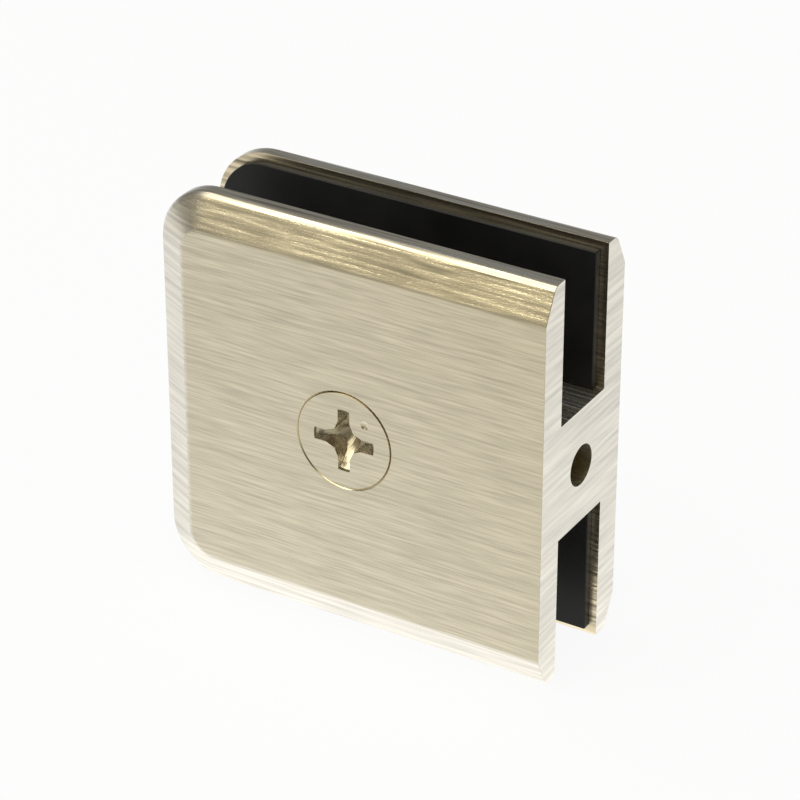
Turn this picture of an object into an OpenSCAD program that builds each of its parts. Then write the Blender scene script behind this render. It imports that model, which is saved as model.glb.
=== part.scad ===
// Wall clamp for a notched glass panel: two bevelled plates on a web, drawn
// together by one countersunk screw, with a soft gasket inside each plate.
// X runs along the panel and the wall face is at x = 0, so the clamp lies at
// negative x. Y runs through the glass and the front plate faces -Y. Z is up.
// The origin is the centre of the wall hole in the wall face.

/* [Plates] */
// Height of both plates
plate_h = 50.8; // [44:0.2:80]
// Length of both plates, from the wall to the free end
plate_len = 50.8; // [46:0.2:80]
// Thickness of the front plate
front_t = 4; // [3.8:0.1:8]
// Thickness of the rear plate
rear_t = 4; // [3.5:0.1:8]
// Radius of the two corners at the free end
corner_r = 7; // [5:0.5:14]

/* [Bevel] */
// Width of the bevel across the face
bevel_w = 4; // [1:0.25:4.75]
// Depth of the bevel at the rim
bevel_d = 2; // [0.5:0.25:2.25]
// Radius between the bevel and the rim
rim_round = 1.2; // [0.2:0.1:1.4]

/* [Glass] */
// Thickness of the glass panel
glass_t = 8; // [8:0.5:15]
// Thickness of each gasket
gasket_t = 1; // [0.8:0.1:2]
// Distance from a plate's edge to its gasket
gasket_inset = 1; // [0.4:0.1:2]

/* [Web] */
// Height of the web between the plates
web_h = 14.6; // [14:0.2:24]
// Distance from the wall to the clamp screw
screw_x = 25.4; // [23:0.2:34]

/* [Wall fixing] */
// Diameter of the hole for the wall screw
wall_hole_d = 5; // [3.5:0.1:6]
// Length of that hole, from the wall to its countersink
wall_hole_len = 12; // [8:0.5:14]
// Diameter of the bore that the wall screw's head goes down
access_d = 8.4; // [7:0.1:8.8]

/* [Clamp screw] */
// Diameter of the screw's thread
screw_d = 6; // [5:0.5:7]
// Diameter of the countersunk head
head_d = 12; // [11:0.1:12.8]
// Height of the straight land at the head's edge
head_land = 0.4; // [0.2:0.1:0.6]
// Metal left behind the tapped hole
tap_floor = 1.4; // [0.8:0.1:2.4]
// Chamfer at the screw's tip
tip_chamfer = 0.7; // [0.3:0.1:1.2]
// Diameter across the tips of the cross recess
recess_d = 7.86; // [6.4:0.1:8.6]
// Width of a wing of the cross recess
wing_w = 1.52; // [1:0.1:1.8]
// Depth of the recess at the tip of a wing
wing_depth = 0.5; // [0.2:0.1:0.9]
// Distance from the axis to where a wing starts to flare
flare_from = 2.35; // [2:0.05:2.9]
// Distance of each flared corner from both wings' centre lines
flare_corner = 1.24; // [1:0.02:1.4]
// Diameter of the dimple on the head
dot_d = 1.1; // [0.6:0.1:1.4]

/* [Locating pegs] */
// Diameter of the two pegs on the front plate
peg_d = 3; // [2:0.1:3.4]
// Length of the pegs
peg_len = 1.5; // [0.8:0.1:2]
// Distance from the wall to the pegs
peg_x = 7; // [4:0.5:12]
// Distance from the web's side to the pegs' axes
peg_edge = 2.9; // [2.5:0.1:3.4]

/* [Fits] */
// Open ring round the screw's head, on the radius
head_gap = 0.2; // [0.1:0.05:0.4]
// Gap between the head's cone and its seat, on the radius
seat_gap = 0.08; // [0.04:0.01:0.1]
// Gap between the screw and the hole in the front plate, on the radius
hole_gap = 0.3; // [0.15:0.05:0.5]
// Gap between the screw and the tapped hole, on the radius
thread_gap = 0.05; // [0.02:0.01:0.1]
// Gap between a peg and its socket, on the radius
peg_gap = 0.08; // [0.04:0.01:0.1]
// Gap at the end of a peg
peg_end_gap = 0.3; // [0.1:0.1:0.6]
// Gap at the screw's tip
tip_gap = 0.6; // [0.2:0.1:1]
// Gap between a gasket and the web
gasket_gap = 0.15; // [0.05:0.05:0.5]

/* [Hidden] */
$fn = 96;

// Tool and cutter overrun, so that no two faces of a cut coincide
over = 1;

metal = [0.79, 0.75, 0.66];
gasket_black = [0.07, 0.07, 0.07];

// The slot is the glass and its two gaskets, centred on the wall hole
slot_w = glass_t + 2 * gasket_t;
inner_front = -slot_w / 2;
inner_rear = slot_w / 2;
outer_front = inner_front - front_t;
outer_rear = inner_rear + rear_t;

// The web ends in a half round about the clamp screw
web_r = web_h / 2;
peg_z = web_r - peg_edge;

// Wall screw: a 90 degree countersink joins the hole to the access bore
wall_r = wall_hole_d / 2;
access_r = access_d / 2;
sink_len = access_r - wall_r;

// Clamp screw: a 90 degree cone under the head's land
screw_r = screw_d / 2;
head_r = head_d / 2;
cone_h = head_r - screw_r;
pass_r = screw_r + hole_gap;
seat_r = head_r + seat_gap;
tap_end = outer_rear - tap_floor;
screw_len = tap_end - tip_gap - outer_front;
recess_r = recess_d / 2;
recess_bottom = wing_depth + recess_r;
wing_half = wing_w / 2;
dot_r = dot_d / 2;
// The dimple is a cap of a ball, 1.5 times the dimple's own radius
dot_ball = 1.5 * dot_r;
dot_sink = sqrt(dot_ball * dot_ball - dot_r * dot_r);

// Rounding of the rim: lengths from the sharp corner to the two tangent points
bevel_len = norm([bevel_w, bevel_d]);
rim_angle = 90 + atan(bevel_d / bevel_w);
rim_tangent = rim_round / tan(rim_angle / 2);

// Turns a piece drawn with depth up +Z so that its depth points +Y
module facing_front() { rotate([-90, 0, 0]) children(); }

// Turns a piece drawn with depth up +Z so that its depth points -Y
module facing_rear() { rotate([90, 0, 0]) children(); }

// A cylinder along X, from x = at towards -X
module bore_x(r, at, length) {
    translate([at, 0, 0]) rotate([0, -90, 0]) cylinder(r = r, h = length);
}

// A cylinder along Y, from y = at towards +Y
module bore_y(r, at, length) {
    translate([0, at, 0]) facing_front() cylinder(r = r, h = length);
}

// Section through a bevelled edge: x is the distance out from the corner's
// centre, and y the depth below the plate's outer face
module edge_section(t) {
    corner = [corner_r, bevel_d];
    on_bevel = corner - rim_tangent / bevel_len * [bevel_w, bevel_d];
    on_rim = corner + [0, rim_tangent];
    difference() {
        polygon([[0, 0], [corner_r - bevel_w, 0], corner, [corner_r, t], [0, t]]);
        difference() {
            polygon([on_bevel, corner, on_rim]);
            translate(on_rim - [rim_round, 0]) circle(r = rim_round);
        }
    }
}

// A straight run of the bevelled edge along X, on the +Y side of the axis
module edge_strip(t, length) {
    rotate([90, 0, 90]) linear_extrude(length) edge_section(t);
}

// One plate, outer face at z = 0 and depth up +Z: bevelled on both long sides
// and round the free end, square and plain where it meets the wall
module bevelled_plate(t) {
    straight = plate_len - corner_r;
    half = plate_h / 2 - corner_r;
    union() {
        translate([-straight, -half, 0]) cube([straight, 2 * half, t]);
        for (side = [0, 1]) mirror([0, side, 0]) {
            translate([-straight, half, 0]) edge_strip(t, straight);
            translate([-straight, half, 0]) rotate([0, 0, 90])
                rotate_extrude(angle = 90) edge_section(t);
        }
        translate([-straight, -half, 0]) rotate([0, 0, 90])
            edge_strip(t, 2 * half);
    }
}

// Outline of the web, seen along Y: square at the wall, half round at its end
module web_outline(grow = 0) {
    reach = web_r + grow;
    translate([-screw_x, -reach]) square([screw_x, 2 * reach]);
    translate([-screw_x, 0]) circle(r = reach);
}

// Puts its children at both pegs
module at_pegs() {
    for (side = [-1, 1]) translate([-peg_x, 0, side * peg_z]) children();
}

// Hole for the wall screw, its countersink and the bore that leads to them
module wall_screw_bore() {
    bore_x(wall_r, over, wall_hole_len + over);
    translate([-wall_hole_len, 0, 0]) rotate([0, -90, 0])
        cylinder(r1 = wall_r, r2 = access_r, h = sink_len);
    bore_x(access_r, -wall_hole_len - sink_len, screw_x + web_r);
}

// Rear plate and web, one casting, bored and tapped
module base_body() {
    color(metal) difference() {
        union() {
            translate([0, outer_rear, 0]) facing_rear() bevelled_plate(rear_t);
            translate([0, inner_front, 0]) facing_front()
                linear_extrude(slot_w + rear_t / 2) web_outline();
        }
        wall_screw_bore();
        translate([-screw_x, 0, 0])
            bore_y(screw_r + thread_gap, inner_front - over, tap_end - inner_front + over);
        at_pegs() bore_y(peg_d / 2 + peg_gap, inner_front - over, over + peg_len + peg_end_gap);
    }
}

// Countersunk hole in the front plate, about the screw's axis
module screw_seat() {
    seat_h = seat_r - pass_r;
    bore_y(head_r + head_gap, outer_front - over, head_land + over);
    translate([0, outer_front + head_land, 0]) facing_front()
        cylinder(r1 = seat_r, r2 = pass_r, h = seat_h);
    bore_y(pass_r, outer_front + head_land, front_t + over);
}

// Loose front plate with its two locating pegs
module front_plate() {
    color(metal) {
        difference() {
            translate([0, outer_front, 0]) facing_front() bevelled_plate(front_t);
            translate([-screw_x, 0, 0]) screw_seat();
        }
        at_pegs() bore_y(peg_d / 2, inner_front - front_t / 4, front_t / 4 + peg_len);
    }
}

// Mouth of the cross recess: four wings with flared corners between them
module cross_outline() {
    intersection() {
        circle(r = recess_r);
        polygon([for (turn = [0:90:270]) for (p = [
            [recess_r + over, -wing_half],
            [recess_r + over, wing_half],
            [flare_from, wing_half],
            [flare_corner, flare_corner],
            [wing_half, flare_from]
        ]) [p[0] * cos(turn) - p[1] * sin(turn), p[0] * sin(turn) + p[1] * cos(turn)]]);
    }
}

// Cross recess, from the head's face down: upright flanks over a 90 degree cone
module cross_recess() {
    intersection() {
        translate([0, 0, -over]) linear_extrude(recess_bottom + over) cross_outline();
        rotate_extrude() polygon([[0, -over], [recess_r + over, -over],
            [recess_r + over, wing_depth - over], [0, recess_bottom]]);
    }
}

// Countersunk clamp screw, drawn with a plain shank at the thread's diameter
module clamp_screw() {
    color(metal) translate([-screw_x, outer_front, 0]) facing_front() difference() {
        rotate_extrude() polygon([
            [0, 0], [head_r, 0], [head_r, head_land], [screw_r, head_land + cone_h],
            [screw_r, screw_len - tip_chamfer], [screw_r - tip_chamfer, screw_len],
            [0, screw_len]
        ]);
        cross_recess();
        rotate([0, 0, -45]) translate([recess_r, 0, -dot_sink]) sphere(r = dot_ball);
    }
}

// Gasket outline, seen along Y: the plate's outline set in, cut out round the web
module gasket_outline() {
    reach = plate_h / 2 - gasket_inset;
    round_r = corner_r - gasket_inset;
    end = plate_len - gasket_inset;
    difference() {
        union() {
            translate([-end + round_r, -reach])
                square([end - round_r - gasket_inset, 2 * reach]);
            translate([-end, -reach + round_r])
                square([round_r + over, 2 * (reach - round_r)]);
            for (side = [-1, 1]) translate([-end + round_r, side * (reach - round_r)])
                circle(r = round_r);
        }
        web_outline(gasket_gap);
    }
}

// Gasket against the front plate
module front_gasket() {
    color(gasket_black) translate([0, inner_front, 0]) facing_front()
        linear_extrude(gasket_t) gasket_outline();
}

// Gasket against the rear plate
module rear_gasket() {
    color(gasket_black) translate([0, inner_rear, 0]) facing_rear()
        linear_extrude(gasket_t) gasket_outline();
}

base_body();
front_plate();
clamp_screw();
front_gasket();
rear_gasket();
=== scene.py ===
"""Looks of a wall clamp for a notched glass panel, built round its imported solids.

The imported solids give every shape. Each metal piece is a copy of its solid with its
edges eased and its brush direction laid out, the screw's shank is cut down to its
thread's core, and each gasket gets the softened edge of a punched sheet. Lengths are
in metres, and brush maps are in millimetres.
"""

import sys
import enum
import logging
import math
from collections.abc import Callable
from dataclasses import dataclass, field

import bmesh
import bpy
from mathutils import Matrix, Vector


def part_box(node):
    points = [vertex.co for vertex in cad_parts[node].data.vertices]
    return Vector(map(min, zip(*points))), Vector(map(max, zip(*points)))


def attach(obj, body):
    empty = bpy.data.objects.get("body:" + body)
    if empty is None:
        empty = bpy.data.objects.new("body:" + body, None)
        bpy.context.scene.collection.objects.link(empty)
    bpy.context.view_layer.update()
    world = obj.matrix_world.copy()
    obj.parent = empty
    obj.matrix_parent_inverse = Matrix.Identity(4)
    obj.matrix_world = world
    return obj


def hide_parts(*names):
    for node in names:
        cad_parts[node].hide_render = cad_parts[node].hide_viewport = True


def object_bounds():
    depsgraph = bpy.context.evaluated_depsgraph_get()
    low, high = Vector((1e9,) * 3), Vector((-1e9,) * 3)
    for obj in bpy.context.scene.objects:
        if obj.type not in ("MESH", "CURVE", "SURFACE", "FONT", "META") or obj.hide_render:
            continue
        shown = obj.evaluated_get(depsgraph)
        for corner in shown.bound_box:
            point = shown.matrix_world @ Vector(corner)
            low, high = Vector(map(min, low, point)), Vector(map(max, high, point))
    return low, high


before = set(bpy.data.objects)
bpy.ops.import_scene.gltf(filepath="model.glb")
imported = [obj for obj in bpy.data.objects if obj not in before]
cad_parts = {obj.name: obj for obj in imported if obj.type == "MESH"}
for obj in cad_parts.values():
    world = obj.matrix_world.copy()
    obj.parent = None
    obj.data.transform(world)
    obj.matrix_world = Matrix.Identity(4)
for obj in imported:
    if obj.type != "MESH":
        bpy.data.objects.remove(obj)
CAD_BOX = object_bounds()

LOG = logging.getLogger("clamp")
BRUSH_MAP = "brush"
MM = 0.001
# Where nearly all of the mottle's values lie
CLOUD_RANGE = (0.3, 0.7)
# Least part of a face's normal that lies along an axis: square to it, and mostly so
SQUARE_ON = 0.97
MOSTLY = 0.8


def linear(red: int, green: int, blue: int) -> tuple[float, float, float, float]:
    """A colour as scene-linear values.

    Args:
        red: Red from 0 to 255, as a screen shows it.
        green: Green from 0 to 255.
        blue: Blue from 0 to 255.

    Returns:
        The linear red, green and blue, and an alpha of 1.
    """
    parts = []
    for value in (red, green, blue):
        part = value / 255
        parts.append(part / 12.92 if part <= 0.04045 else ((part + 0.055) / 1.055) ** 2.4)
    return parts[0], parts[1], parts[2], 1.0


def shade(
    colour: tuple[float, float, float, float], amount: float
) -> tuple[float, float, float, float]:
    """A colour made lighter or darker, never past white."""
    red, green, blue, _ = colour
    return min(red * amount, 1), min(green * amount, 1), min(blue * amount, 1), 1.0


# ---- node trees


class Wiring:
    """Short ways to add and join nodes in one tree."""

    def __init__(self, tree: bpy.types.NodeTree) -> None:
        """Keeps the tree that nodes are added to."""
        self.tree = tree

    def add(self, kind: str, inputs: dict | None = None, **settings: object) -> bpy.types.Node:
        """Adds one node.

        Args:
            kind: The node's type name.
            inputs: Values or sockets for its inputs, by name or number.
            settings: The node's own properties.

        Returns:
            The new node.
        """
        node = self.tree.nodes.new(kind)
        for name, value in settings.items():
            setattr(node, name, value)
        for key, value in (inputs or {}).items():
            self.feed(node, key, value)
        return node

    def feed(self, node: bpy.types.Node, key: str | int, value: object) -> None:
        """Sets a node's input, or joins a socket to it.

        Args:
            node: The node.
            key: The input's name or number.
            value: A plain value, or the socket that feeds the input.
        """
        if isinstance(value, bpy.types.NodeSocket):
            self.tree.links.new(value, node.inputs[key])
        else:
            node.inputs[key].default_value = value

    def math(self, operation: str, *values: object) -> bpy.types.NodeSocket:
        """The result of one maths step on numbers or sockets."""
        node = self.add("ShaderNodeMath", dict(enumerate(values)), operation=operation)
        return node.outputs[0]

    def spread(
        self, value: object, low: float, high: float, start: float, end: float
    ) -> bpy.types.NodeSocket:
        """A value moved from one range to another and kept inside it."""
        inputs = {"Value": value, "From Min": low, "From Max": high, "To Min": start, "To Max": end}
        return self.add("ShaderNodeMapRange", inputs, clamp=True).outputs["Result"]

    def dimmed(self, colour: object, amount: object) -> bpy.types.NodeSocket:
        """A colour times an amount, kept between black and white.

        Args:
            colour: The colour or its socket.
            amount: The amount's socket.

        Returns:
            The new colour's socket.
        """
        product = self.add(
            "ShaderNodeMix",
            {0: 1.0, 6: colour, 7: amount},
            data_type="RGBA",
            blend_type="MULTIPLY",
            clamp_result=True,
        )
        return product.outputs[2]

    def bumped(self, height: object, depth: float, strength: float = 1.0) -> bpy.types.NodeSocket:
        """The normal of a surface that a height map presses in.

        Args:
            height: The map's socket.
            depth: How deep a height of 1 is, in metres.
            strength: How much of the bump shows, from 0 to 1.

        Returns:
            The normal's socket.
        """
        inputs = {"Strength": strength, "Distance": depth, "Height": height}
        return self.add("ShaderNodeBump", inputs).outputs[0]


def new_group(
    name: str, kind: str, inputs: dict[str, tuple[str, object]], outputs: dict[str, str]
) -> tuple[bpy.types.NodeTree, bpy.types.Node, bpy.types.Node]:
    """An empty node group with named sockets.

    Args:
        name: The group's name.
        kind: Its tree type.
        inputs: Socket type and default for each input, by name.
        outputs: Socket type for each output, by name.

    Returns:
        The group, its input node and its output node.
    """
    group = bpy.data.node_groups.new(name, kind)
    for label, (socket, default) in inputs.items():
        made = group.interface.new_socket(label, in_out="INPUT", socket_type=socket)
        if default is not None:
            made.default_value = default
    for label, socket in outputs.items():
        group.interface.new_socket(label, in_out="OUTPUT", socket_type=socket)
    return group, group.nodes.new("NodeGroupInput"), group.nodes.new("NodeGroupOutput")


@dataclass(frozen=True)
class StrokeLayer:
    """One layer of brush strokes, against its finish's stroke length and width."""

    share: float
    longer: float
    wider: float
    seed: float


class SharedEffects:
    """Shader groups that more than one finish uses, each built once."""

    PRESSED = (
        StrokeLayer(1.0, 1.25, 1.0, 3.7),
        StrokeLayer(0.75, 0.5, 0.8, 11.3),
        StrokeLayer(0.2, 2.0, 3.5, 23.9),
    )
    SCRATCHES = StrokeLayer(0.3, 0.3, 0.5, 31.1)
    DRIFT_PER_MM = (0.08, 0.06)
    GRAINS_PER_MM = (6.0, 12.0)

    _made: dict[str, bpy.types.NodeTree] = {}

    @classmethod
    def brush(cls) -> bpy.types.NodeTree:
        """Long, slightly wandering brush strokes.

        Returns:
            A group that turns a map in millimetres, strokes along its first axis, into
            a tone about 0.5 and a height about 0.
        """
        if "brush" in cls._made:
            return cls._made["brush"]
        group, start, end = new_group(
            "BrushStrokes",
            "ShaderNodeTree",
            {
                "Map": ("NodeSocketVector", None),
                "Length": ("NodeSocketFloat", 9.0),
                "Width": ("NodeSocketFloat", 0.45),
                "Wander": ("NodeSocketFloat", 0.2),
                "Grain": ("NodeSocketFloat", 0.1),
            },
            {"Tone": "NodeSocketFloat", "Height": "NodeSocketFloat"},
        )
        w = Wiring(group)

        def noise(where: object) -> bpy.types.NodeSocket:
            """One smooth layer of noise about 0."""
            made = w.add("ShaderNodeTexNoise", {"Vector": where, "Scale": 1.0, "Detail": 0.0})
            return w.math("SUBTRACT", made.outputs[0], 0.5)

        def scaled(along: float, across: float) -> bpy.types.NodeSocket:
            """The map, scaled along and across the strokes."""
            return w.add(
                "ShaderNodeVectorMath",
                {0: start.outputs["Map"], 1: (along, across, 1.0)},
                operation="MULTIPLY",
            ).outputs[0]

        axes = w.add("ShaderNodeSeparateXYZ", {0: start.outputs["Map"]})
        drift = w.math("MULTIPLY", noise(scaled(*cls.DRIFT_PER_MM)), start.outputs["Wander"])
        row = w.math("ADD", axes.outputs[1], drift)

        def strokes(layer: StrokeLayer) -> bpy.types.NodeSocket:
            """One layer of strokes about 0.

            Args:
                layer: The layer's size and seed.

            Returns:
                The layer's socket.
            """
            length = w.math("MULTIPLY", start.outputs["Length"], layer.longer)
            width = w.math("MULTIPLY", start.outputs["Width"], layer.wider)
            where = {
                0: w.math("DIVIDE", axes.outputs[0], length),
                1: w.math("DIVIDE", row, width),
                2: layer.seed,
            }
            return noise(w.add("ShaderNodeCombineXYZ", where).outputs[0])

        pressed: object = 0.0
        for layer in cls.PRESSED:
            pressed = w.math("MULTIPLY_ADD", strokes(layer), layer.share, pressed)
        scratched = w.math("MULTIPLY_ADD", strokes(cls.SCRATCHES), cls.SCRATCHES.share, pressed)
        grain = w.math("MULTIPLY", noise(scaled(*cls.GRAINS_PER_MM)), start.outputs["Grain"])
        w.feed(end, "Tone", w.math("ADD", pressed, 0.5))
        w.feed(end, "Height", w.math("ADD", scratched, grain))
        cls._made["brush"] = group
        return group

    @classmethod
    def mottle(cls) -> bpy.types.NodeTree:
        """Soft cloudy change and a fine moulded grain.

        Returns:
            A group that turns Object coordinates into a cloud mask about 0.5 and a height.
        """
        if "mottle" in cls._made:
            return cls._made["mottle"]
        group, start, end = new_group(
            "Mottle",
            "ShaderNodeTree",
            {
                "Place": ("NodeSocketVector", None),
                "Cloud Size": ("NodeSocketFloat", 8 * MM),
                "Grain Size": ("NodeSocketFloat", 0.25 * MM),
            },
            {"Cloud": "NodeSocketFloat", "Height": "NodeSocketFloat"},
        )
        w = Wiring(group)

        def noise(size: bpy.types.NodeSocket, detail: float) -> bpy.types.NodeSocket:
            """Noise with features of one size.

            Args:
                size: Their size in metres.
                detail: How many finer layers it has.

            Returns:
                The noise's socket.
            """
            scale = w.math("DIVIDE", 1.0, size)
            inputs = {"Vector": start.outputs["Place"], "Scale": scale, "Detail": detail}
            return w.add("ShaderNodeTexNoise", inputs).outputs[0]

        w.feed(end, "Cloud", noise(start.outputs["Cloud Size"], 3.0))
        w.feed(end, "Height", noise(start.outputs["Grain Size"], 2.0))
        cls._made["mottle"] = group
        return group


# ---- finishes


@dataclass(frozen=True)
class Finish:
    """A finish that becomes one material."""

    name: str

    def material(self) -> bpy.types.Material:
        """The finish as a material, made once.

        Returns:
            The material.
        """
        if self.name in bpy.data.materials:
            return bpy.data.materials[self.name]
        made = bpy.data.materials.new(self.name)
        made.use_nodes = True
        self.wire(Wiring(made.node_tree), made.node_tree.nodes["Principled BSDF"])
        return made

    def wire(self, w: Wiring, shader: bpy.types.Node) -> None:
        """Adds the finish's nodes to its new material.

        Args:
            w: The material's wiring.
            shader: Its Principled BSDF.
        """
        raise NotImplementedError


@dataclass(frozen=True)
class PlateColour:
    """Colour of the nickel plate: warm when faced, and pale at a slant."""

    faced: tuple[float, float, float, float] = linear(203, 190, 154)
    slanted: tuple[float, float, float, float] = linear(243, 238, 225)
    turn: tuple[float, float] = (0.1, 0.56)

    def socket(self, w: Wiring) -> bpy.types.NodeSocket:
        """Adds the colour to a material.

        Args:
            w: The material's wiring.

        Returns:
            The colour's socket.
        """
        facing = w.add("ShaderNodeLayerWeight", {"Blend": 0.5}).outputs["Facing"]
        share = w.spread(facing, *self.turn, 0.0, 1.0)
        blend = w.add("ShaderNodeMix", {0: share, 6: self.faced, 7: self.slanted}, data_type="RGBA")
        return blend.outputs[2]


@dataclass(frozen=True)
class BrushedPlate(Finish):
    """Nickel plate over brushed metal, with strokes along the brush map.

    Press, length and width are the strokes' own, in millimetres.
    """

    contrast: float = 0.18
    roughness: float = 0.25
    press: float = 0.011
    length: float = 7.0
    width: float = 0.26
    wander: float = 0.2
    grain: float = 0.1
    colour: PlateColour = PlateColour()

    def wire(self, w: Wiring, shader: bpy.types.Node) -> None:
        """Adds the finish's nodes to its new material.

        Args:
            w: The material's wiring.
            shader: Its Principled BSDF.
        """
        inputs = {
            "Map": w.add("ShaderNodeUVMap", uv_map=BRUSH_MAP).outputs[0],
            "Length": self.length,
            "Width": self.width,
            "Wander": self.wander,
            "Grain": self.grain,
        }
        brush = w.add("ShaderNodeGroup", node_tree=SharedEffects.brush())
        for label, value in inputs.items():
            w.feed(brush, label, value)
        tone = brush.outputs["Tone"]
        dimming = w.spread(tone, 0.0, 1.0, 1 - self.contrast, 1 + self.contrast)
        dull, bright = 1.2 * self.roughness, 0.8 * self.roughness
        w.feed(shader, "Base Color", w.dimmed(self.colour.socket(w), dimming))
        w.feed(shader, "Roughness", w.spread(tone, 0.0, 1.0, dull, bright))
        w.feed(shader, "Metallic", 1.0)
        w.feed(shader, "Normal", w.bumped(brush.outputs["Height"], self.press * MM))


@dataclass(frozen=True)
class PlainPlate(Finish):
    """Nickel plate over cut or punched metal, cloudy rather than brushed.

    Press is the depth of its grain, in millimetres.
    """

    contrast: float = 0.05
    roughness: float = 0.22
    press: float = 0.001
    cloud_size: float = 2.5 * MM
    grain_size: float = 0.3 * MM
    colour: PlateColour = PlateColour()

    def wire(self, w: Wiring, shader: bpy.types.Node) -> None:
        """Adds the finish's nodes to its new material.

        Args:
            w: The material's wiring.
            shader: Its Principled BSDF.
        """
        mottle = w.add("ShaderNodeGroup", node_tree=SharedEffects.mottle())
        w.feed(mottle, "Place", w.add("ShaderNodeTexCoord").outputs["Object"])
        w.feed(mottle, "Cloud Size", self.cloud_size)
        w.feed(mottle, "Grain Size", self.grain_size)
        cloud = mottle.outputs["Cloud"]
        dimming = w.spread(cloud, *CLOUD_RANGE, 1 - self.contrast, 1 + self.contrast)
        bright, dull = 0.9 * self.roughness, 1.1 * self.roughness
        w.feed(shader, "Base Color", w.dimmed(self.colour.socket(w), dimming))
        w.feed(shader, "Roughness", w.spread(cloud, *CLOUD_RANGE, bright, dull))
        w.feed(shader, "Metallic", 1.0)
        w.feed(shader, "Normal", w.bumped(mottle.outputs["Height"], self.press * MM))


@dataclass(frozen=True)
class GasketRubber(Finish):
    """Black sheet rubber with a fine moulded grain."""

    name: str = "gasket_rubber"
    colour: tuple[float, float, float, float] = linear(34, 34, 33)
    roughness: float = 0.38
    shine: float = 0.25
    press: float = 0.012
    press_share: float = 0.6

    def wire(self, w: Wiring, shader: bpy.types.Node) -> None:
        """Adds the finish's nodes to its new material.

        Args:
            w: The material's wiring.
            shader: Its Principled BSDF.
        """
        mottle = w.add("ShaderNodeGroup", node_tree=SharedEffects.mottle())
        w.feed(mottle, "Place", w.add("ShaderNodeTexCoord").outputs["Object"])
        cloud = mottle.outputs["Cloud"]
        shades = {
            0: w.spread(cloud, *CLOUD_RANGE, 0.0, 1.0),
            6: shade(self.colour, 0.7),
            7: shade(self.colour, 1.3),
        }
        bright, dull = 0.92 * self.roughness, 1.08 * self.roughness
        w.feed(shader, "Base Color", w.add("ShaderNodeMix", shades, data_type="RGBA").outputs[2])
        w.feed(shader, "Roughness", w.spread(cloud, *CLOUD_RANGE, bright, dull))
        w.feed(shader, "Specular IOR Level", self.shine)
        bump = w.bumped(mottle.outputs["Height"], self.press * MM, self.press_share)
        w.feed(shader, "Normal", bump)


class Surface(enum.Enum):
    """The kinds of surface that a metal piece has, each with its own finish. The slot and the
    screw's recess also get lighter or darker copies of the plate's colour as painted light and
    shade.
    """

    FACE = BrushedPlate("brushed_face", grain=0.03)
    SLOPE = BrushedPlate(
        "brushed_slope", length=10, width=0.43, contrast=0.48, roughness=0.26, press=0.04, grain=0.7
    )
    SIDE_SLOPE = BrushedPlate(
        "brushed_side_slope", length=12, width=0.5, contrast=0.18, press=0.02, grain=0.05
    )
    END = BrushedPlate("brushed_end", width=0.58, contrast=0.165, length=9.0, grain=0.03)
    RIM = BrushedPlate(
        "brushed_rim", length=14, width=0.42, contrast=0.6, roughness=0.3, press=0.035
    )
    # Painted shade: the slot's inner walls get a darker, browner copy of the plate's colour
    INSIDE = BrushedPlate(
        "brushed_inside_painted_shade",
        length=14,
        width=0.4,
        contrast=0.75,
        roughness=0.32,
        press=0.035,
        wander=0.1,
        colour=PlateColour(linear(196, 181, 144), linear(236, 228, 208)),
    )
    # Painted light: the web's faces inside the slot get a lighter copy of the plate's colour
    LIT_SLOT_FLOOR = BrushedPlate(
        "brushed_slot_floor_painted_light",
        length=16,
        width=0.5,
        contrast=1.15,
        roughness=0.32,
        press=0.06,
        grain=0.3,
        colour=PlateColour(linear(226, 210, 170), linear(246, 240, 222)),
    )
    HOLE = BrushedPlate("brushed_hole", width=0.5, contrast=0.5, roughness=0.4, press=0.03)
    BORE = PlainPlate("machined_bore")
    # Painted shade: the screw's cross recess gets a darker copy of the plate's colour
    SHADED_RECESS = PlainPlate(
        "cut_recess_painted_shade",
        roughness=0.25,
        colour=PlateColour(linear(186, 175, 145), linear(226, 221, 209)),
    )


# ---- meshes


def solid_copy(node: str) -> bmesh.types.BMesh:
    """A CAD node's mesh with its loose triangles joined and its flat areas whole.

    Args:
        node: The CAD node's name.

    Returns:
        The joined copy. The node itself is left alone.
    """
    shape = bmesh.new()
    shape.from_mesh(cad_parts[node].data)
    weld = 0.002 * MM
    least_fold = math.radians(0.4)
    bmesh.ops.remove_doubles(shape, verts=shape.verts, dist=weld)
    bmesh.ops.dissolve_limit(shape, angle_limit=least_fold, verts=shape.verts, edges=shape.edges)
    return shape


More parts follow.
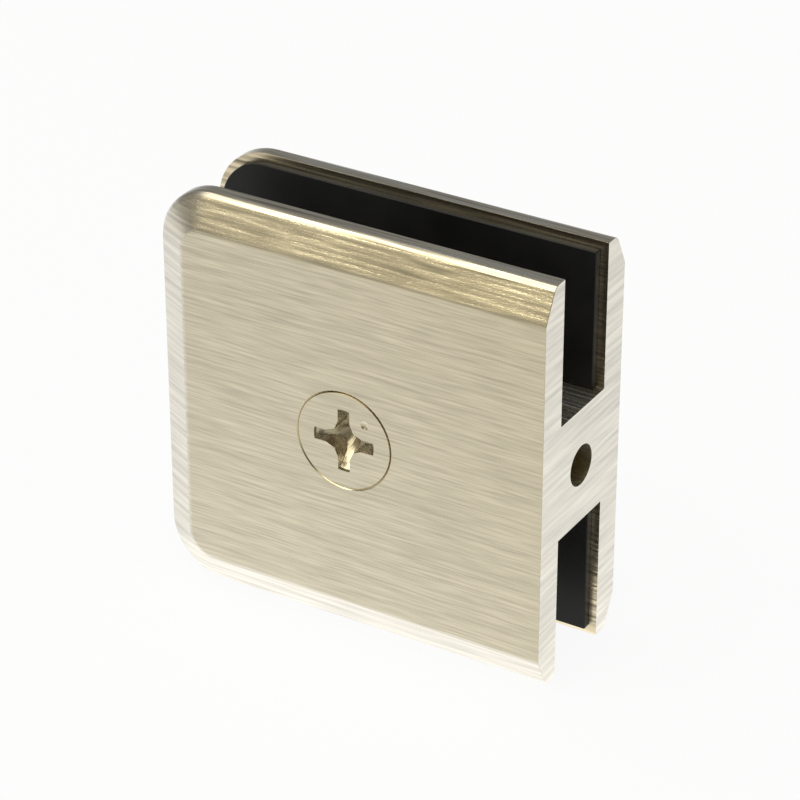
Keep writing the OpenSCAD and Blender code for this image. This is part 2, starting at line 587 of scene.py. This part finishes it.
def ease_edges(
    shape: bmesh.types.BMesh,
    widest: float,
    share: Callable[[bmesh.types.BMEdge], float],
    least_fold: float = 14.0,
    crease: float = 34.0,
) -> bpy.types.Mesh:
    """Rounds the sharp edges of a closed shape.

    Args:
        shape: The shape, which is freed.
        widest: Width of the widest rounding.
        share: Gives each folded edge its share of that width, from 0 to 1.
        least_fold: Least angle, in degrees, at which an edge counts as folded.
        crease: Least angle, in degrees, at which an edge stays a hard line.

    Returns:
        The rounded mesh, with smooth shading that keeps its flat areas flat.
    """
    weights = shape.edges.layers.float.new("bevel_weight_edge")
    for edge in shape.edges:
        if len(edge.link_faces) == 2 and edge.calc_face_angle(0) > math.radians(least_fold):
            edge[weights] = share(edge)
    mesh = bpy.data.meshes.new("shape")
    shape.to_mesh(mesh)
    shape.free()
    carrier = bpy.data.objects.new("carrier", mesh)
    bpy.context.scene.collection.objects.link(carrier)
    rounding = carrier.modifiers.new("rounding", "BEVEL")
    rounding.limit_method = "WEIGHT"
    rounding.width = widest
    rounding.segments = 3
    rounding.use_clamp_overlap = True
    for polygon in mesh.polygons:
        polygon.use_smooth = True
    levelling = carrier.modifiers.new("levelling", "WEIGHTED_NORMAL")
    levelling.keep_sharp = True
    levelling.weight = 100
    levelling.mode = "FACE_AREA"
    mesh.set_sharp_from_angle(angle=math.radians(crease))
    graph = bpy.context.evaluated_depsgraph_get()
    made = bpy.data.meshes.new_from_object(carrier.evaluated_get(graph))
    bpy.data.objects.remove(carrier)
    bpy.data.meshes.remove(mesh)
    return made


@dataclass(frozen=True)
class BrushMap:
    """Lays out a plate's brush map, in millimetres, first axis along the strokes.

    Strokes run along X on everything but the ends, where they run along Y. Each offset
    keeps one side's strokes from being the other side's.
    """

    inner: float = 5 * MM
    free_end: float = -50.8
    bevel_foot: float = 7.0
    leaning: float = 0.62
    face_apart: float = 60.0
    rim_apart: float = 130.0
    end_apart: float = 200.0

    def spot(self, polygon: bpy.types.MeshPolygon, point: Vector) -> tuple[float, float]:
        """Where a corner of a face lies on the map.

        Args:
            polygon: The face.
            point: The corner's place, in millimetres.

        Returns:
            Its distance along the strokes and across them.
        """
        n, c = polygon.normal, polygon.center
        x, y, z = point
        if abs(n.y) > self.leaning:
            return x, z + math.copysign(self.face_apart, n.y)
        if abs(n.x) <= abs(n.z):
            return x, y + math.copysign(self.rim_apart, n.z)
        if n.x < 0 and abs(c.y) > self.inner:
            # The bevel's strokes carry on over the rim of the free end
            along = abs(y) - self.bevel_foot + self.free_end
            return along, z + math.copysign(self.face_apart, c.y)
        return y + math.copysign(self.end_apart, n.x), z

    def lay(self, mesh: bpy.types.Mesh) -> None:
        """Adds the map to a mesh.

        Args:
            mesh: The mesh.
        """
        layer = mesh.uv_layers.new(name=BRUSH_MAP)
        for polygon in mesh.polygons:
            for corner in polygon.loop_indices:
                point = mesh.vertices[mesh.loops[corner].vertex_index].co / MM
                layer.data[corner].uv = self.spot(polygon, point)


def place(mesh: bpy.types.Mesh, name: str, node: str, body: str) -> bpy.types.Object:
    """Makes the piece that stands for a CAD node.

    Args:
        mesh: The piece's mesh, already in its place.
        name: The piece's name.
        node: The CAD node that it replaces.
        body: The CAD body that it rides on.

    Returns:
        The piece.
    """
    mesh.name = name
    piece = bpy.data.objects.new(name, mesh)
    bpy.context.scene.collection.objects.link(piece)
    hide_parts(node)
    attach(piece, body)
    triangles = sum(len(p.vertices) - 2 for p in mesh.polygons)
    LOG.info("%s: %d triangles, on body %s", name, triangles, body)
    return piece


def dress(mesh: bpy.types.Mesh, choose: Callable[[bpy.types.MeshPolygon], Surface]) -> None:
    """Gives each face of a mesh the finish of its kind of surface.

    Args:
        mesh: The mesh.
        choose: Gives a face its kind of surface.
    """
    kinds = list(Surface)
    for kind in kinds:
        mesh.materials.append(kind.value.material())
    for polygon in mesh.polygons:
        polygon.material_index = kinds.index(choose(polygon))


# ---- pieces


@dataclass
class ClampSizes:
    """The CAD box, and lengths and places of the solids that the pieces share.

    The seat, web and bore radii each lie just outside what they are named for.
    """

    box: tuple[Vector, Vector] = field(default_factory=lambda: CAD_BOX)
    inner: float = 5 * MM
    screw_x: float = -25.4 * MM
    screw_r: float = 3 * MM
    seat_r: float = 6.4 * MM
    web_r: float = 7.3 * MM
    bore_r: float = 4.3 * MM

    @property
    def outer(self) -> float:
        """Distance of both outer faces from the middle of the slot."""
        return self.box[1].y

    def from_screw(self, point: Vector) -> float:
        """Distance of a point from the clamp screw's axis."""
        return math.hypot(point.x - self.screw_x, point.z)

    def round_screw(self, point: Vector, radius: float, y: float) -> Vector:
        """A point moved straight out or in to a circle round the clamp screw's axis.

        Args:
            point: The point, off the axis.
            radius: The circle's radius.
            y: The circle's place along Y.

        Returns:
            The point on the circle.
        """
        out = Vector((point.x - self.screw_x, 0, point.z)).normalized() * radius
        return Vector((self.screw_x + out.x, y, out.z))


@dataclass
class PlatePiece:
    """A casting with bevelled plate edges: the front plate, or the rear one and its web."""

    sizes: ClampSizes
    name: str
    node: str
    body: str
    slot: str = "plated_brass"
    soft_edge: float = 0.36 * MM
    crisp_edge: float = 0.06 * MM
    inner_edge: float = 0.018 * MM
    seat_chamfer: float = 0.26 * MM
    mouth_r: float = 6.2 * MM
    mouth_depth: float = 0.4 * MM

    def edge_share(self, edge: bmesh.types.BMEdge) -> float:
        """How much of the soft edge's width one sharp edge is rounded by.

        Args:
            edge: A sharp edge.

        Returns:
            1 between a face and its bevel, 0 where the two castings meet at the wall
            end, and the inner or the crisp edge's share elsewhere.
        """
        near = 0.01 * MM
        bevel_fold = math.radians(40)
        a, b = (v.co for v in edge.verts)
        at_end = abs(a.x) < near and abs(b.x) < near
        if at_end and abs(a.y + self.sizes.inner) < near and abs(b.y + self.sizes.inner) < near:
            return 0.0
        on_face = all(abs(abs(p.y) - self.sizes.outer) < near for p in (a, b))
        if on_face and edge.calc_face_angle(0) < bevel_fold:
            return 1.0
        within = all(abs(p.y) < self.sizes.inner + near for p in (a, b))
        if within or self.sizes.from_screw((a + b) / 2) < self.sizes.seat_r:
            return self.inner_edge / self.soft_edge
        return self.crisp_edge / self.soft_edge

    def surface(self, polygon: bpy.types.MeshPolygon) -> Surface:
        """The kind of surface that a face is.

        Args:
            polygon: A face of the eased mesh.

        Returns:
            Its kind.
        """
        near = 0.02 * MM
        corner_from = 4
        n, c = polygon.normal, polygon.center
        inner = self.sizes.inner
        flat = abs(n.y) > SQUARE_ON
        by_screw = self.sizes.from_screw(c) < self.sizes.seat_r
        if by_screw and not (flat and abs(c.y) > inner):
            return Surface.BORE
        if abs(n.x) < MOSTLY and math.hypot(c.y, c.z) < self.sizes.bore_r:
            return Surface.HOLE
        if n.x > MOSTLY:
            return Surface.END
        if abs(c.y) < inner - near:
            # The web's faces in the slot take the lighter, painted-light copy of the plate
            return Surface.LIT_SLOT_FLOOR if abs(n.z) > SQUARE_ON else Surface.SIDE_SLOPE
        if abs(c.y) < inner + near:
            # The slot's inner walls take the painted-shade copy of the plate
            return Surface.INSIDE
        if flat:
            return Surface.FACE
        if abs(n.y) < MOSTLY and abs(n.z) > abs(n.x):
            return Surface.RIM
        # The front bevel's top ends where it starts to turn round a corner
        on_top = n.y < 0 and n.z > corner_from * abs(n.x)
        return Surface.SLOPE if on_top else Surface.SIDE_SLOPE

    def chamfer_seat(self, shape: bmesh.types.BMesh) -> None:
        """Turns the upright mouth of the screw's seat into a chamfer and a plain wall.

        Args:
            shape: The piece's joined copy.
        """
        near = 0.02 * MM
        face_y = -self.sizes.outer
        wide_r, narrow_r = self.mouth_r + 0.07 * MM, self.mouth_r - 0.19 * MM

        def within(polygon: bmesh.types.BMFace, low: float, high: float) -> bool:
            """Whether a face lies wholly in the mouth, between two depths.

            Args:
                polygon: The face.
                low: The lesser depth.
                high: The greater depth.

            Returns:
                Whether it does.
            """
            return all(
                self.sizes.from_screw(v.co) < self.mouth_r + near
                and low - near < v.co.y - face_y < high + near
                for v in polygon.verts
            )

        ledge = [f for f in shape.faces if within(f, self.mouth_depth, self.mouth_depth)]
        if not ledge:
            return
        bmesh.ops.delete(shape, geom=ledge, context="FACES")
        wall = [f for f in shape.faces if within(f, 0.0, self.mouth_depth)]
        around = {g for face in wall for g in (face, *face.edges, *face.verts)}
        cut = bmesh.ops.bisect_plane(
            shape,
            geom=list(around),
            plane_co=(0, face_y + self.seat_chamfer, 0),
            plane_no=(0, 1, 0),
        )["geom_cut"]
        lower = [f for f in shape.faces if within(f, self.seat_chamfer, self.mouth_depth)]
        bmesh.ops.delete(shape, geom=lower, context="FACES")
        inner_ring = [v for v in cut if isinstance(v, bmesh.types.BMVert)]
        outer_ring = [
            v
            for v in shape.verts
            if abs(self.sizes.from_screw(v.co) - self.mouth_r) < near
            and abs(v.co.y - face_y) < near
        ]
        for ring, radius in ((inner_ring, narrow_r), (outer_ring, wide_r)):
            for vertex in ring:
                vertex.co = self.sizes.round_screw(vertex.co, radius, vertex.co.y)
        bmesh.ops.bridge_loops(shape, edges=[e for e in shape.edges if e.is_boundary])
        bmesh.ops.recalc_face_normals(shape, faces=shape.faces)

    def build(self) -> bpy.types.Object:
        """Builds and dresses the piece.

        Returns:
            The finished piece.
        """
        shape = solid_copy(self.node)
        self.chamfer_seat(shape)
        mesh = ease_edges(shape, self.soft_edge, self.edge_share)
        BrushMap().lay(mesh)
        dress(mesh, self.surface)
        return place(mesh, self.name, self.node, self.body)


@dataclass
class ThreadRidge:
    """One thread ridge, swept along a helix by Geometry Nodes.

    As the spiral turns, the ridge is left-handed and its depth points at the axis, so
    it lies inside the core that it starts on and doesn't show.
    """

    root_r: float
    crest_r: float
    pitch: float
    turns: float
    points_per_turn: int = 40
    run_out: float = 0.06
    thinnest: float = 0.02

    @property
    def inputs(self) -> dict[str, float | int]:
        """The thread's sizes, by the names of the tree's inputs."""
        return {
            "Root Radius": self.root_r,
            "Depth": self.crest_r - self.root_r,
            "Pitch": self.pitch,
            "Turns": self.turns,
            "Points per Turn": self.points_per_turn,
        }

    def tree(self) -> bpy.types.NodeTree:
        """Builds the sweep.

        Returns:
            A Geometry Nodes tree with the thread's sizes as inputs.
        """
        sockets: dict[str, tuple[str, object]] = {
            name: ("NodeSocketInt" if isinstance(value, int) else "NodeSocketFloat", value)
            for name, value in self.inputs.items()
        }
        sockets["Material"] = ("NodeSocketMaterial", None)
        group, start, end = new_group(
            "ThreadRidge", "GeometryNodeTree", sockets, {"Geometry": "NodeSocketGeometry"}
        )
        group.is_modifier = True
        w = Wiring(group)
        size = start.outputs
        helix = w.add(
            "GeometryNodeCurveSpiral",
            {
                "Resolution": size["Points per Turn"],
                "Rotations": size["Turns"],
                "Start Radius": size["Root Radius"],
                "End Radius": size["Root Radius"],
                "Height": w.math("MULTIPLY", size["Pitch"], size["Turns"]),
            },
        )
        upright = w.add("GeometryNodeSetCurveNormal", {"Curve": helix.outputs[0]})
        upright.mode = "Z_UP"
        way = w.add("GeometryNodeSplineParameter").outputs["Factor"]
        rise = w.spread(way, 0.0, self.run_out, self.thinnest, 1.0)
        fall = w.spread(way, 1 - self.run_out, 1.0, 1.0, self.thinnest)
        tapered = w.add(
            "GeometryNodeSetCurveRadius",
            {"Curve": upright.outputs[0], "Radius": w.math("MULTIPLY", rise, fall)},
        )
        # The section's foot is 7/8 of the pitch wide, and its crest 1/8 of it
        section = w.add("GeometryNodeCurvePrimitiveQuadrilateral")
        section.mode = "POINTS"
        foot = w.math("MULTIPLY", size["Pitch"], 7 / 16)
        crest = w.math("MULTIPLY", size["Pitch"], 1 / 16)
        depth = size["Depth"]
        corners = (
            (0.0, w.math("MULTIPLY", foot, -1.0)),
            (depth, w.math("MULTIPLY", crest, -1.0)),
            (depth, crest),
            (0.0, foot),
        )
        for number, (out, up) in enumerate(corners, 1):
            point = w.add("ShaderNodeCombineXYZ", {0: out, 1: up})
            w.feed(section, f"Point {number}", point.outputs[0])
        sweep = w.add(
            "GeometryNodeCurveToMesh",
            {
                "Curve": tapered.outputs[0],
                "Profile Curve": section.outputs[0],
                "Fill Caps": True,
            },
        )
        real = w.add("GeometryNodeRealizeInstances", {0: sweep.outputs[0]})
        dressed = w.add(
            "GeometryNodeSetMaterial", {"Geometry": real.outputs[0], "Material": size["Material"]}
        )
        w.feed(end, "Geometry", dressed.outputs[0])
        return group

    def mesh(self, material: bpy.types.Material, at: Matrix) -> bpy.types.Mesh:
        """Runs the sweep.

        Args:
            material: The ridge's material.
            at: Where the helix starts, its axis along the matrix's Z.

        Returns:
            The ridge as a plain mesh.
        """
        carrier = bpy.data.objects.new("carrier", bpy.data.meshes.new("carrier"))
        bpy.context.scene.collection.objects.link(carrier)
        tree = self.tree()
        modifier = carrier.modifiers.new("thread", "NODES")
        modifier.node_group = tree
        values = {**self.inputs, "Material": material}
        for item in tree.interface.items_tree:
            if item.in_out == "INPUT":
                modifier[item.identifier] = values[item.name]
        graph = bpy.context.evaluated_depsgraph_get()
        made = bpy.data.meshes.new_from_object(carrier.evaluated_get(graph))
        bpy.data.objects.remove(carrier)
        made.transform(at)
        return made


@dataclass
class ClampScrew:
    """Countersunk machine screw with a cross recess, its shank cut down to the core."""

    sizes: ClampSizes
    name: str = "clamp_screw_dressed"
    node: str = "clamp_screw"
    body: str = "screw"
    slot: str = "plated_screw"
    edge: float = 0.05 * MM
    shank_from: float = 4.6 * MM
    root_r: float = 2.42 * MM
    neck: float = 0.6 * MM
    point: float = 0.45 * MM
    point_taper: float = 0.4 * MM
    pitch: float = 1 * MM
    recess_r: float = 4 * MM
    dimple_from: float = 2 * MM

    def cut_shank(self, shape: bmesh.types.BMesh, tip: float) -> None:
        """Cuts the shank off below the head and draws the thread's core in its place.

        Args:
            shape: The screw's joined copy.
            tip: Where the screw ends, along Y.
        """
        top = -self.sizes.outer + self.shank_from
        bmesh.ops.bisect_plane(
            shape,
            geom=[*shape.verts, *shape.edges, *shape.faces],
            plane_co=(0, top, 0),
            plane_no=(0, 1, 0),
            clear_outer=True,
        )
        loop = [e for e in shape.edges if e.is_boundary]
        core = (
            (self.root_r, top + self.neck),
            (self.root_r, tip - self.point),
            (self.root_r - self.point_taper, tip),
        )
        for radius, y in core:
            made = bmesh.ops.extrude_edge_only(shape, edges=loop)["geom"]
            loop = [g for g in made if isinstance(g, bmesh.types.BMEdge)]
            for vertex in {v for e in loop for v in e.verts}:
                vertex.co = self.sizes.round_screw(vertex.co, radius, y)
        bmesh.ops.contextual_create(shape, geom=loop)
        bmesh.ops.recalc_face_normals(shape, faces=shape.faces)

    def surface(self, polygon: bpy.types.MeshPolygon) -> Surface:
        """The kind of surface that a face is.

        Args:
            polygon: A face of the eased mesh.

        Returns:
            Its kind. The dimple counts as a bore.
        """
        n, c = polygon.normal, polygon.center
        depth = c.y + self.sizes.outer
        if n.y < -SQUARE_ON and depth < self.edge:
            return Surface.FACE
        away = Vector((c.x - self.sizes.screw_x, 0, c.z))
        in_dimple = min(abs(away.x), abs(away.z)) > self.dimple_from
        in_recess = away.length < self.recess_r and not in_dimple and 0 < depth < self.shank_from
        outwards = n.dot(away.normalized()) if away.length else 0.0
        most_back, most_out = 0.3, 0.5
        cut_in = n.y < most_back and outwards < most_out
        # The recess's cut-in walls take the darker, painted-shade copy of the plate
        return Surface.SHADED_RECESS if in_recess and cut_in else Surface.BORE

    def add_thread(self, mesh: bpy.types.Mesh, tip: float) -> None:
        """Adds the thread's ridge, which lies inside the core.

        Args:
            mesh: The screw's dressed mesh.
            tip: Where the screw ends, along Y.
        """
        first, last = 0.2 * MM, 0.7 * MM
        sunk = 0.02 * MM
        start = -self.sizes.outer + self.shank_from + first
        ridge = ThreadRidge(
            root_r=self.root_r - sunk,
            crest_r=self.sizes.screw_r,
            pitch=self.pitch,
            turns=(tip - last - start) / self.pitch,
        )
        along_y = Matrix.Rotation(-math.pi / 2, 4, "X")
        axis = Matrix.Translation((self.sizes.screw_x, start, 0)) @ along_y
        thread = ridge.mesh(Surface.BORE.value.material(), axis)
        both = bmesh.new()
        both.from_mesh(mesh)
        screw_faces = len(both.faces)
        both.from_mesh(thread)
        both.faces.ensure_lookup_table()
        for face in both.faces[screw_faces:]:
            face.material_index = list(Surface).index(Surface.BORE)
        both.to_mesh(mesh)
        both.free()

    def build(self) -> bpy.types.Object:
        """Builds and dresses the screw.

        Returns:
            The finished piece.
        """
        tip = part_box(self.node)[1].y
        shape = solid_copy(self.node)
        self.cut_shank(shape, tip)
        mesh = ease_edges(shape, self.edge, lambda _: 1.0, least_fold=34.0, crease=12.0)
        BrushMap().lay(mesh)
        dress(mesh, self.surface)
        self.add_thread(mesh, tip)
        return place(mesh, self.name, self.node, self.body)


@dataclass
class Gasket:
    """A sheet of black rubber with softened edges."""

    sizes: ClampSizes
    name: str
    node: str
    body: str
    slot: str = "black_gasket"
    edge: float = 0.12 * MM
    web_edge: float = 0.012 * MM
    gap: float = 0.15 * MM
    squeeze: float = 0.13 * MM

    def off_web(self, point: Vector) -> float:
        """Distance of a point from the web's side or from its half-round end."""
        from_axis = self.sizes.from_screw(point)
        return (abs(point.z) if point.x > self.sizes.screw_x else from_axis) - self.sizes.web_r

    def edge_share(self, edge: bmesh.types.BMEdge) -> float:
        """How much of the edge's width one sharp edge is rounded by.

        Args:
            edge: A sharp edge.

        Returns:
            1 for a punched outer edge, almost nothing for one that lies on the web, and
            0 for a fold of the outline's arcs.
        """
        square_fold = 1.0  # in radians
        if edge.calc_face_angle(0) < square_fold:
            return 0.0
        on_web = all(self.off_web(v.co) < self.gap for v in edge.verts)
        return self.web_edge / self.edge if on_web else 1.0

    def press_on_web(self, shape: bmesh.types.BMesh) -> None:
        """Squeezes the gasket's inner outline onto the web.

        Args:
            shape: The gasket's joined copy.
        """
        near = 0.02 * MM
        for vertex in shape.verts:
            at = vertex.co
            if abs(self.off_web(at) - self.gap) > near:
                continue
            axis_x = max(at.x, self.sizes.screw_x)
            out = Vector((min(at.x - self.sizes.screw_x, 0), 0, at.z))
            out -= out.normalized() * self.squeeze
            vertex.co = Vector((axis_x + out.x, at.y, out.z))

    def build(self) -> bpy.types.Object:
        """Builds and dresses the gasket.

        Returns:
            The finished piece.
        """
        shape = solid_copy(self.node)
        self.press_on_web(shape)
        mesh = ease_edges(shape, self.edge, self.edge_share)
        mesh.materials.append(GasketRubber().material())
        return place(mesh, self.name, self.node, self.body)


# ---- studio


OVERHEAD_LIGHT = (1.0, 0.98, 0.93)
CARD_LIGHT = (1.0, 0.965, 0.9)


@dataclass(frozen=True)
class Softbox:
    """One oblong soft lamp that faces the clamp, or hangs level above it."""

    name: str
    towards: tuple[float, float, float]
    width: float
    height: float
    radiance: float
    colour: tuple[float, float, float] = OVERHEAD_LIGHT
    level: bool = False

    def hang(self, aim: Vector) -> bpy.types.Object:
        """Hangs the lamp.

        Args:
            aim: The point that its place is measured from.

        Returns:
            The lamp.
        """
        data = bpy.data.lights.new(self.name, "AREA")
        data.shape = "RECTANGLE"
        data.size = self.width
        data.size_y = self.height
        data.color = self.colour
        data.energy = self.radiance * math.pi * self.width * self.height
        lamp = bpy.data.objects.new(self.name, data)
        bpy.context.scene.collection.objects.link(lamp)
        out = Vector(self.towards)
        lamp.location = aim + out
        if not self.level:
            lamp.rotation_mode = "QUATERNION"
            lamp.rotation_quaternion = out.to_track_quat("Z", "Y")
        return lamp


@dataclass(frozen=True)
class Fade:
    """A factor that changes from one value to another between two distances."""

    near: float
    far: float
    at_near: float
    at_far: float


@dataclass
class Studio:
    """Pale floor that curves up far away, soft lamps and the camera.

    Each large lamp is two or three at slightly different distances, the wider ones
    weaker, so that its edge is soft in reflections.
    """

    sizes: ClampSizes
    floor_reach: float = 2.2
    floor_sides: int = 96
    cove_rise: float = 0.42
    cove_steps: int = 8
    white_share: float = 0.93
    floor_tone: float = 0.94
    # Painted pool of light in the floor's glow for reflections, by distance from the clamp
    glow_pool_fades: tuple[Fade, ...] = (
        Fade(0.0, 0.005, 1.1, 0.9),
        Fade(0.005, 0.06, 1.0, 0.9),
        Fade(0.1, 1.0, 1.0, 0.5),
    )
    room: float = 0.168
    camera_place: tuple[float, float, float] = (0.14552, -0.28247, 0.18751)
    camera_turn: tuple[float, float, float] = (60.527, 0.0, 30.881)
    camera_lens: float = 149.436
    lamps: tuple[Softbox, ...] = (
        Softbox("side", (0.302, -0.78, 0.861), 0.34, 0.34, 1.0),
        Softbox("core", (-0.536, -0.59, 0.896), 0.38, 0.38, 1.6),
        Softbox("overhead", (-0.37, -0.4, 1.0), 1.15, 1.2, 1.18, level=True),
        Softbox("overhead_edge", (-0.37, -0.5, 1.01), 1.15, 1.4, 0.6, level=True),
        Softbox("overhead_rim", (-0.37, -0.62, 1.02), 1.15, 1.64, 0.5, level=True),
        Softbox("card", (-0.42, -0.86, 0.39), 0.5, 0.36, 0.185, CARD_LIGHT),
        Softbox("card_edge", (-0.424, -0.869, 0.394), 0.75, 0.48, 0.185, CARD_LIGHT),
        Softbox("card_rim", (-0.428, -0.877, 0.398), 1.0, 0.6, 0.25, CARD_LIGHT),
    )

    @property
    def aim(self) -> Vector:
        """The middle of the clamp."""
        return (self.sizes.box[0] + self.sizes.box[1]) / 2

    def floor_material(self) -> bpy.types.Material:
        """White floor that keeps shadows and shows as white. Its glow that only reflections see is
        a painted pool of light: brighter than white beside the clamp, dimmer far away.

        Returns:
            The material.
        """
        made = bpy.data.materials.new("pale_floor")
        made.use_nodes = True
        tree = made.node_tree
        w = Wiring(tree)
        shader = tree.nodes["Principled BSDF"]
        w.feed(shader, "Base Color", (self.floor_tone, self.floor_tone, self.floor_tone, 1))
        w.feed(shader, "Roughness", 0.9)
        w.feed(shader, "Specular IOR Level", 0.0)
        half = (self.sizes.box[1] - self.sizes.box[0]) / 2
        spot = w.add("ShaderNodeTexCoord").outputs["Object"]
        for operation, other in (
            ("SUBTRACT", self.aim),
            ("ABSOLUTE", self.aim),
            ("SUBTRACT", Vector((half.x, half.y, self.floor_reach))),
            ("MAXIMUM", Vector((0, 0, 0))),
        ):
            step = w.add("ShaderNodeVectorMath", {0: spot, 1: other}, operation=operation)
            spot = step.outputs[0]
        away = w.add("ShaderNodeVectorMath", {0: spot}, operation="LENGTH").outputs["Value"]
        # Painted pool of light: the glow that reflections see is 1.1 right beside the clamp and
        # fades to about 0.4 far away, while camera rays still see plain white
        glow_pool: object = 1.0
        for fade in self.glow_pool_fades:
            factor = w.spread(away, fade.near, fade.far, fade.at_near, fade.at_far)
            glow_pool = w.math("MULTIPLY", glow_pool, factor)
        path = w.add("ShaderNodeLightPath").outputs
        dimmer = w.math("SUBTRACT", 1.0, glow_pool)
        glow = w.add("ShaderNodeEmission", {"Color": (1, 1, 1, 1)})
        w.feed(glow, "Strength", w.math("MULTIPLY_ADD", path["Is Camera Ray"], dimmer, glow_pool))
        shown = w.math("MAXIMUM", path["Is Camera Ray"], path["Is Glossy Ray"])
        seen = w.math("MAXIMUM", shown, path["Is Transmission Ray"])
        share = w.math("MULTIPLY", seen, self.white_share)
        mix = w.add("ShaderNodeMixShader", {0: share, 1: shader.outputs[0], 2: glow.outputs[0]})
        w.feed(tree.nodes["Material Output"], "Surface", mix.outputs[0])
        return made

    def floor_ring(self, radius: float, height: float) -> list[Vector]:
        """The points of one ring of the floor.

        Args:
            radius: The ring's radius.
            height: Its height above the ground.

        Returns:
            The points, in order.
        """
        ground = self.sizes.box[0].z - 0.01 * MM
        middle = Vector((self.aim.x, self.aim.y, ground + height))
        turns = (2 * math.pi * n / self.floor_sides for n in range(self.floor_sides))
        return [middle + radius * Vector((math.cos(t), math.sin(t), 0)) for t in turns]

    def lay_floor(self) -> bpy.types.Object:
        """Lays the round floor with its cove.

        Returns:
            The floor.
        """
        profile = [(0.5 * self.floor_reach, 0.0)]
        for step in range(self.cove_steps + 1):
            turn = math.radians(90) * step / self.cove_steps
            out, up = math.sin(turn), 1 - math.cos(turn)
            profile.append((self.floor_reach + self.cove_rise * out, self.cove_rise * up))
        shape = bmesh.new()
        rings = [[shape.verts.new(p) for p in self.floor_ring(*spot)] for spot in profile]
        shape.faces.new(rings[0])
        for low, high in zip(rings, rings[1:]):
            for number in range(self.floor_sides):
                after = (number + 1) % self.floor_sides
                shape.faces.new((low[number], high[number], high[after], low[after]))
        bmesh.ops.recalc_face_normals(shape, faces=shape.faces)
        mesh = bpy.data.meshes.new("floor")
        shape.to_mesh(mesh)
        shape.free()
        mesh.materials.append(self.floor_material())
        floor = bpy.data.objects.new("floor", mesh)
        bpy.context.scene.collection.objects.link(floor)
        return floor

    def light_room(self) -> None:
        """Sets the even grey of the room and hangs the lamps."""
        world = bpy.data.worlds.new("room")
        world.use_nodes = True
        backing = world.node_tree.nodes["Background"]
        backing.inputs["Color"].default_value = (*OVERHEAD_LIGHT, 1)
        backing.inputs["Strength"].default_value = self.room
        bpy.context.scene.world = world
        for lamp in self.lamps:
            lamp.hang(self.aim)

    def set_camera(self) -> bpy.types.Object:
        """Sets the camera.

        Returns:
            The camera.
        """
        data = bpy.data.cameras.new("camera")
        data.sensor_width = 36
        data.lens = self.camera_lens
        data.clip_start = 0.01
        data.clip_end = 20
        camera = bpy.data.objects.new("camera", data)
        bpy.context.scene.collection.objects.link(camera)
        camera.location = self.camera_place
        camera.rotation_euler = [math.radians(a) for a in self.camera_turn]
        bpy.context.scene.camera = camera
        return camera

    def build(self) -> None:
        """Sets up the whole studio."""
        self.set_camera()
        self.lay_floor()
        self.light_room()
        bpy.context.scene.view_settings.view_transform = "Standard"


def main() -> None:
    """Builds the studio and every piece, in order."""
    logging.basicConfig(level=logging.INFO, format="%(name)s: %(message)s", stream=sys.stdout)
    sizes = ClampSizes()
    Studio(sizes).build()
    for piece in (
        PlatePiece(sizes, "rear_casting", "base_body", "base"),
        PlatePiece(sizes, "front_casting", "front_plate", "cover"),
        ClampScrew(sizes),
        Gasket(sizes, "front_gasket_sheet", "front_gasket", "cover"),
        Gasket(sizes, "rear_gasket_sheet", "rear_gasket", "base"),
    ):
        piece.build()


if __name__ == "__main__":
    main()
